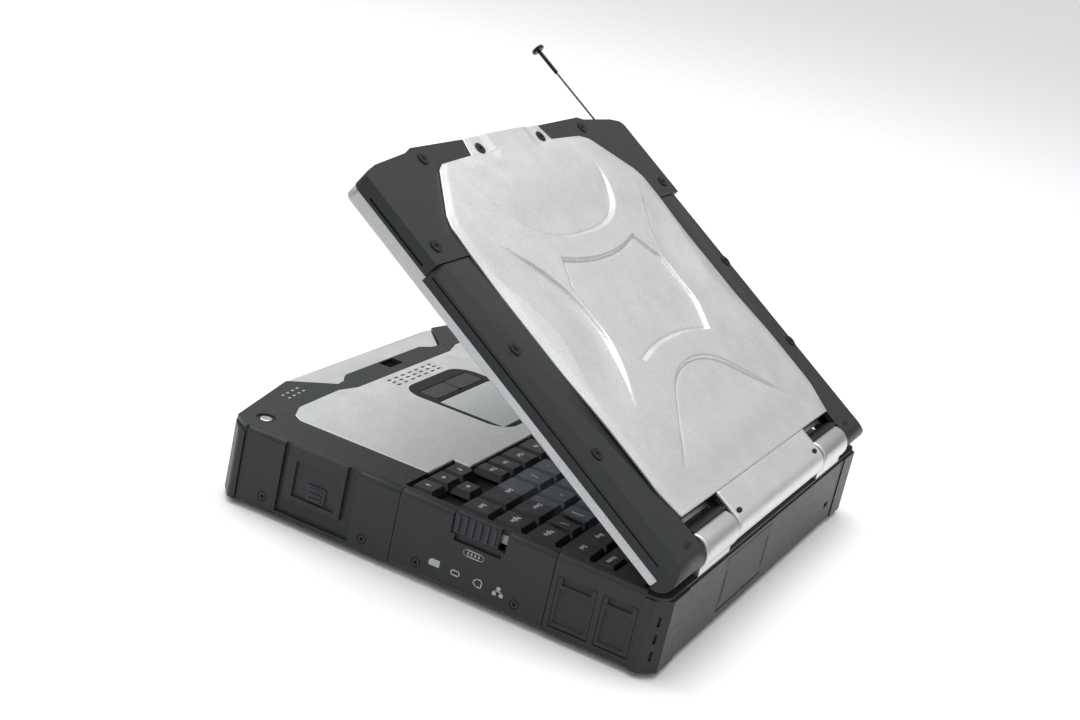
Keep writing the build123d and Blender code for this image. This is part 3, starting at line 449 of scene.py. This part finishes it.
def relief(x, up):
    """Height of the cover's outer face over its plane, in millimetres."""
    half = np.interp(up, *zip(*EDGE_POINTS))
    crown = 1.9 * (1 - np.abs(x / half) ** 2.6) * smooth_step(24, 70, up) * (1 - smooth_step(196, 241, up))
    plateau = 1.1 * smooth_step(16, 42, up) * (1 - smooth_step(222, 231, up) * smooth_step(20, 30, np.abs(x)))
    height = crown + plateau
    height += 0.5 * smooth_step(0, 7, half - np.abs(x)) - 0.5
    hood = signed_distance(x, up, np.vstack((through(HOOD), [(72, 250), (-72, 250)])))
    height -= RELIEF * smooth_step(-WALL, WALL, hood) * (1 - smooth_step(176, 212, up))
    height -= crease(hood) * (1 - smooth_step(190, 214, up))
    arch = signed_distance(x, up, np.vstack((through(ARCH), [(-90, -20), (90, -20)])))
    height -= RELIEF * smooth_step(-WALL, WALL, arch) * smooth_step(30, 62, up)
    height -= crease(arch) * smooth_step(32, 48, up)
    flank = signed_distance(np.abs(x), up, np.vstack((through(FLANK), [(140, 40), (140, 205)])))
    fade = (1 - smooth_step(18, 62, np.abs(up - 128))) * (1 - smooth_step(6, 46, flank))
    height -= (RELIEF * 1.1 * smooth_step(-WALL, WALL, flank) + crease(flank)) * fade
    left = [(-a, b) for a, b in reversed(SHIELD_SIDE)]
    outline = np.vstack((through(SHIELD_TOP), through(SHIELD_SIDE), through(SHIELD_FOOT), through(left)))
    shield = signed_distance(x, up, outline)
    return height - SHIELD_DEPTH * smooth_step(-0.6, 0.6, shield) - crease(shield)


def sheet_faces(builder, points):
    """Join a grid of points into faces, and return the grid of vertices."""
    rows = [[builder.verts.new(point) for point in row] for row in points]
    for lower, upper in zip(rows, rows[1:]):
        for index in range(len(lower) - 1):
            builder.faces.new((lower[index], lower[index + 1], upper[index + 1], upper[index]))
    return rows


def add_lid_cover():
    """The pressed back cover: an edge-fitted sheet with relief, and its tongue round the hinge."""
    builder = bmesh.new()
    columns = int(2 * EDGE_POINTS[2][1] / STEP)
    ups = np.concatenate([np.linspace(a, b, max(2, int((b - a) / STEP)), endpoint=False)
                          for (a, _), (b, _) in zip(EDGE_POINTS, EDGE_POINTS[1:])] + [[COVER_TOP]])
    half = np.interp(ups, *zip(*EDGE_POINTS))
    share = np.linspace(-1, 1, columns)
    x = half[:, None] * share[None, :]
    up = np.repeat(ups[:, None], columns, axis=1)
    height = relief(x, up)
    rows = [[lid_point(x[i, j], up[i, j], COVER_OUT + height[i, j]) for j in range(columns)]
            for i in range(len(ups))]
    sheet_faces(builder, rows)
    # the tongue runs on from the sheet and wraps the shafts
    start = COVER_OUT - 0.5
    across = np.linspace(-TONGUE_HALF, TONGUE_HALF, 60)
    rows = []
    for t in np.linspace(0, 1, 12):
        level = start + (BARREL_OUT - start) * t
        rows.append([lid_point(a, NOTCH_UP * (1 - t), level) for a in across])
    for angle in np.linspace(0, radians(200), 40)[1:]:
        rows.append([lid_point(a, -BARREL_OUT * sin(angle), BARREL_OUT * cos(angle)) for a in across])
    sheet_faces(builder, rows)
    bmesh.ops.recalc_face_normals(builder, faces=builder.faces)
    mesh = mesh_from("lid_cover", builder)
    cover = add_piece("lid_cover", mesh, "lid", SILVER, smooth=True)
    thickness = cover.modifiers.new("thickness", "SOLIDIFY")
    thickness.thickness = SHEET * MM
    thickness.offset = -1
    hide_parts("lid_back_cover")


LINER_IN, LINER_OUT = 69, 113           # ends of a liner's curved wall, across the lid
LINER_NEAR, LINER_FAR = 10.2, 10.9      # its radii about the hinge axis
LINER_ARC = (-48, 52)                   # degrees that it spans, from straight up the lid


def add_notch_liners():
    """Dark walls inside the lid, in the notches that take the hinge knuckles."""
    builder = bmesh.new()
    for side in SIDES:
        # a flat wall along the notch's upper edge
        corners = [lid_point(side * x, up, out) for out in (-7.4, 7.8)
                   for up in (NOTCH_UP - 0.5, NOTCH_UP + 1.2) for x in (TONGUE_HALF + 0.2, 113.2)]
        hull = [builder.verts.new(corner) for corner in corners]
        bmesh.ops.convex_hull(builder, input=hull)
        # a curved wall close round the knuckle
        sections = []
        profile = ((LINER_IN, LINER_NEAR), (LINER_OUT, LINER_NEAR),
                   (LINER_OUT, LINER_FAR), (LINER_IN, LINER_FAR))
        for angle in np.linspace(radians(LINER_ARC[0]), radians(LINER_ARC[1]), 14):
            sections.append([builder.verts.new(lid_point(side * x, radius * cos(angle), radius * sin(angle)))
                             for x, radius in profile])
        for first, second in zip(sections, sections[1:]):
            for k in range(4):
                builder.faces.new((first[k], first[(k + 1) % 4], second[(k + 1) % 4], second[k]))
        builder.faces.new(sections[0])
        builder.faces.new(reversed(sections[-1]))
    bmesh.ops.recalc_face_normals(builder, faces=builder.faces)
    add_piece("notch_liners", mesh_from("notch_liners", builder), "lid", TRAY)


# ---------------------------------------------------------------- key legends
PRINT_RISE = 0.03       # height of a legend over its key cap
LETTER = 6.4
WORD = 3.5
LEGENDS = {
    "number_row_keys": ["Esc", *"1234567890", "-", "=", "Bksp", "Del"],
    "upper_row_keys": ["Tab", *"QWERTYUIOP", "[", "]", "\\", "PgUp"],
    "home_row_keys": ["Caps", *"ASDFGHJKL", ";", "'", "Enter", "PgDn"],
    "shift_row_keys": ["Shift", *"ZXCVBNM", ",", ".", "/", "Shift", "End"],
    "space_row_keys": ["Ctrl", "Fn", "Alt", "Menu", "", "Alt", "Ctrl", "Ins", "Del"],
    "function_row_keys": ["Esc"] + [f"F{number}" for number in range(1, 13)] + ["Num", "Prt", "Home"],
}


def text_mesh(words, size_mm):
    """A flat mesh of a few letters, centred on the origin."""
    curve = bpy.data.curves.new("letters", "FONT")
    curve.body = words
    curve.size = size_mm * MM
    curve.align_x = "CENTER"
    curve.align_y = "CENTER"
    curve.resolution_u = 2
    curve.offset = 0.09 * MM
    holder = bpy.data.objects.new("letters", curve)
    mesh = bpy.data.meshes.new_from_object(holder)
    bpy.data.objects.remove(holder)
    bpy.data.curves.remove(curve)
    return mesh


def add_legends():
    """Print each row's legends on its key caps."""
    for row, words in LEGENDS.items():
        builder = bmesh.new()
        for (low, high), word in zip(solids_of(row), words):
            if not word:
                continue
            mesh = text_mesh(word, LETTER if len(word) == 1 else WORD)
            middle = (low + high) / 2
            mesh.transform(Matrix.Translation((middle.x, middle.y, high.z + PRINT_RISE * MM)))
            builder.from_mesh(mesh)
            bpy.data.meshes.remove(mesh)
        name = row.replace("_keys", "_legends")
        add_piece(name, mesh_from(name, builder), row, LEGEND)
    arrows = bmesh.new()
    solids = solids_of("arrow_keys")
    turns = (90, 0, 180, 270)
    for (low, high), turn in zip(solids, turns):
        middle = (low + high) / 2
        place = Matrix.Translation((middle.x, middle.y, high.z + PRINT_RISE * MM))
        place = place @ Matrix.Rotation(radians(turn), 4, "Z")
        outline = [(-1.2, -0.35), (0.4, -0.35), (0.4, -1.2), (2.0, 0), (0.4, 1.2), (0.4, 0.35), (-1.2, 0.35)]
        arrows.faces.new([arrows.verts.new(place @ Vector((a * MM, b * MM, 0))) for a, b in outline])
    add_piece("arrow_legends", mesh_from("arrow_legends", arrows), "arrow_keys", LEGEND)


# ---------------------------------------------------------------- small details
WELLS = [(36, 233, COVER_OUT), (94, 234, 8.7), (140, 186, 8.7), (140.3, 124, 8.0), (140.3, 62, 8.0)]


def ring(builder, place, inner, outer, rise, count=28):
    """A flat ring about a place's own z axis, its inner edge sunk."""
    circles = []
    for radius, height in ((outer, rise), (outer - 0.35, rise + 0.06), (inner, rise + 0.02)):
        turns = [2 * pi * k / count for k in range(count)]
        spots = [Vector((radius * cos(turn) * MM, radius * sin(turn) * MM, height * MM)) for turn in turns]
        circles.append([builder.verts.new(place @ spot) for spot in spots])
    for first, second in zip(circles, circles[1:]):
        for k in range(count):
            builder.faces.new((first[k], first[(k + 1) % count], second[(k + 1) % count], second[k]))


def lid_place(x, up, out):
    """A place on the lid whose own z points outwards."""
    turn = Matrix((Vector((1, 0, 0)), -LID_UP, LID_OUT)).transposed().to_4x4()
    return Matrix.Translation(lid_point(x, up, out)) @ turn


def add_painted_screw_well_shade():
    """Painted shade: near-black rings round the lid's screws stand for the shade in their wells, and
    near-black slots beside the hinge are painted the same way.
    """
    builder = bmesh.new()
    for side in SIDES:
        for x, up, out in WELLS:
            ring(builder, lid_place(side * x, up, out), 1.3, 3.6, 0.56)
        for x, up, out, half in ((125.3, 3.3, 8.0, 3.2), (60.7, 1.6, 9.0, 2.6)):
            slot = [(half * cos(a) * 1.35, 1.5 * sin(a)) for a in np.linspace(0, 2 * pi, 24, endpoint=False)]
            plate_outline(builder, lid_place(side * x, up, out), slot, 0.06)
    add_piece("lid_screw_well_painted_shade", mesh_from("lid_screw_well_painted_shade", builder), "lid", SHADOW)


def plate_outline(builder, place, outline, depth=0.08):
    """A thin raised mark with that outline, in millimetres, on a place's own xy plane."""
    base = [builder.verts.new(place @ Vector((a * MM, b * MM, 0))) for a, b in outline]
    top = [builder.verts.new(place @ Vector((a * MM, b * MM, depth * MM))) for a, b in outline]
    builder.faces.new(top)
    for k in range(len(outline)):
        nxt = (k + 1) % len(outline)
        builder.faces.new((base[k], base[nxt], top[nxt], top[k]))


def strip_outline(builder, place, points, width, closed=True):
    """A thin raised line along points."""
    ends = points + points[:1] if closed else points
    for (x1, y1), (x2, y2) in zip(ends, ends[1:]):
        along = Vector((x2 - x1, y2 - y1)).normalized() * width / 2
        across = Vector((-along.y, along.x))
        a, b = Vector((x1, y1)) - along, Vector((x2, y2)) + along
        plate_outline(builder, place, [a - across, b - across, b + across, a + across])


def side_place(y_mm, z_mm):
    """A place on the right side covers whose own x runs to the rear and own y runs up."""
    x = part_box("connector_cover")[1][0] + 0.02 * MM
    turn = Matrix(((0, 0, 1), (1, 0, 0), (0, 1, 0))).to_4x4()
    return Matrix.Translation((x, y_mm * MM, z_mm * MM)) @ turn


def add_icons():
    """Generic port icons on the connector cover."""
    builder = bmesh.new()
    place = side_place(32, 26)
    pill = [(-4 + 1.6 * cos(a), 1.6 * sin(a)) for a in np.linspace(pi / 2, 3 * pi / 2, 8)]
    pill += [(4 + 1.6 * cos(a), 1.6 * sin(a)) for a in np.linspace(-pi / 2, pi / 2, 8)]
    strip_outline(builder, place, pill, 0.45)
    for x in (-3, -1, 1, 3):
        plate_outline(builder, place, [(x - 0.35, -0.7), (x + 0.35, -0.7), (x + 0.35, 0.7), (x - 0.35, 0.7)])
    card = side_place(12.5, 14.3)
    plate_outline(builder, card, [(-3, -1.8), (3, -1.8), (3, 1.8), (-1.6, 1.8), (-3, 0.6)])
    strip_outline(builder, side_place(24.5, 13.5), [(-2.2, -1.2), (2.2, -1.2), (2.2, 1.2), (-2.2, 1.2)], 0.6)
    arrow = side_place(37, 13.2)
    strip_outline(builder, arrow, [(-2.6, 0), (-0.6, 2), (2.2, 2), (2.2, -2), (-0.6, -2)], 0.6)
    network = side_place(48.5, 13.2)
    for x, y in ((0, 1.6), (-1.9, -1.4), (1.9, -1.4)):
        box = [(x - 1, y - 0.9), (x + 1, y - 0.9), (x + 1, y + 0.9), (x - 1, y + 0.9)]
        plate_outline(builder, network, box)
    strip_outline(builder, network, [(-1.9, -0.4), (-1.9, 0.2), (1.9, 0.2), (1.9, -0.4)], 0.4, closed=False)
    add_piece("cover_icons", mesh_from("cover_icons", builder), "connector_cover", ICON)


def add_deck_marks():
    """Tiny status lights and marks at the deck's front right corner."""
    builder = bmesh.new()
    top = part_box("deck")[1][2] + 0.02 * MM
    for row in range(2):
        for column in range(4):
            x, y = (84 + column * 5.2) * MM, (-119.2 + row * 4.2 + column * 0.5) * MM
            place = Matrix.Translation((x, y, top))
            plate_outline(builder, place, [(-1.1, -0.5), (1.1, -0.5), (1.1, 0.5), (-1.1, 0.5)], 0.05)
    add_piece("deck_marks", mesh_from("deck_marks", builder), "base", ICON)


# ---------------------------------------------------------------- studio
def add_studio():
    """A white floor, soft light from above and the front, and a surround that darkens to the horizon."""
    mesh = bpy.data.meshes.new("floor")
    mesh.from_pydata([(-6, -6, 0), (6, -6, 0), (6, 6, 0), (-6, 6, 0)], [], [(0, 1, 2, 3)])
    floor = bpy.data.objects.new("floor", mesh)
    floor_paper = Surface("floor_paper", (0.93, 0.93, 0.93), 0.9)
    mesh.materials.append(floor_paper.material)
    bpy.context.scene.collection.objects.link(floor)
    world = bpy.data.worlds.new("surround")
    world.use_nodes = True
    tree = world.node_tree
    direction = tree.nodes.new("ShaderNodeTexCoord").outputs["Generated"]
    height = tree.nodes.new("ShaderNodeSeparateXYZ")
    tree.links.new(direction, height.inputs[0])
    sky = tree.nodes.new("ShaderNodeValToRGB")
    tree.links.new(height.outputs["Z"], sky.inputs["Fac"])
    sky.color_ramp.elements[0].position = 0.12
    sky.color_ramp.elements[0].color = (0.20, 0.20, 0.20, 1)
    sky.color_ramp.elements[1].position = 0.7
    sky.color_ramp.elements[1].color = (1, 1, 1, 1)
    tree.links.new(sky.outputs["Color"], tree.nodes["Background"].inputs["Color"])
    tree.nodes["Background"].inputs["Strength"].default_value = 0.90
    bpy.context.scene.world = world
    target = Vector((0, 0, 0.08))
    lamps = (("overhead", (-0.2, -0.2, 1.7), 1.4, 22), ("front", (0.2, -1.6, 1.3), 1.0, 9))
    for name, place, size, power in lamps:
        data = bpy.data.lights.new(name, "AREA")
        data.size = size
        data.energy = power
        lamp = bpy.data.objects.new(name, data)
        lamp.location = place
        lamp.rotation_euler = (target - Vector(place)).to_track_quat("-Z", "Y").to_euler()
        bpy.context.scene.collection.objects.link(lamp)
    bpy.context.scene.view_settings.view_transform = "Standard"


add_camera()
dress_nodes()
add_lid_cover()
add_notch_liners()
add_legends()
add_painted_screw_well_shade()
add_icons()
add_deck_marks()
add_studio()
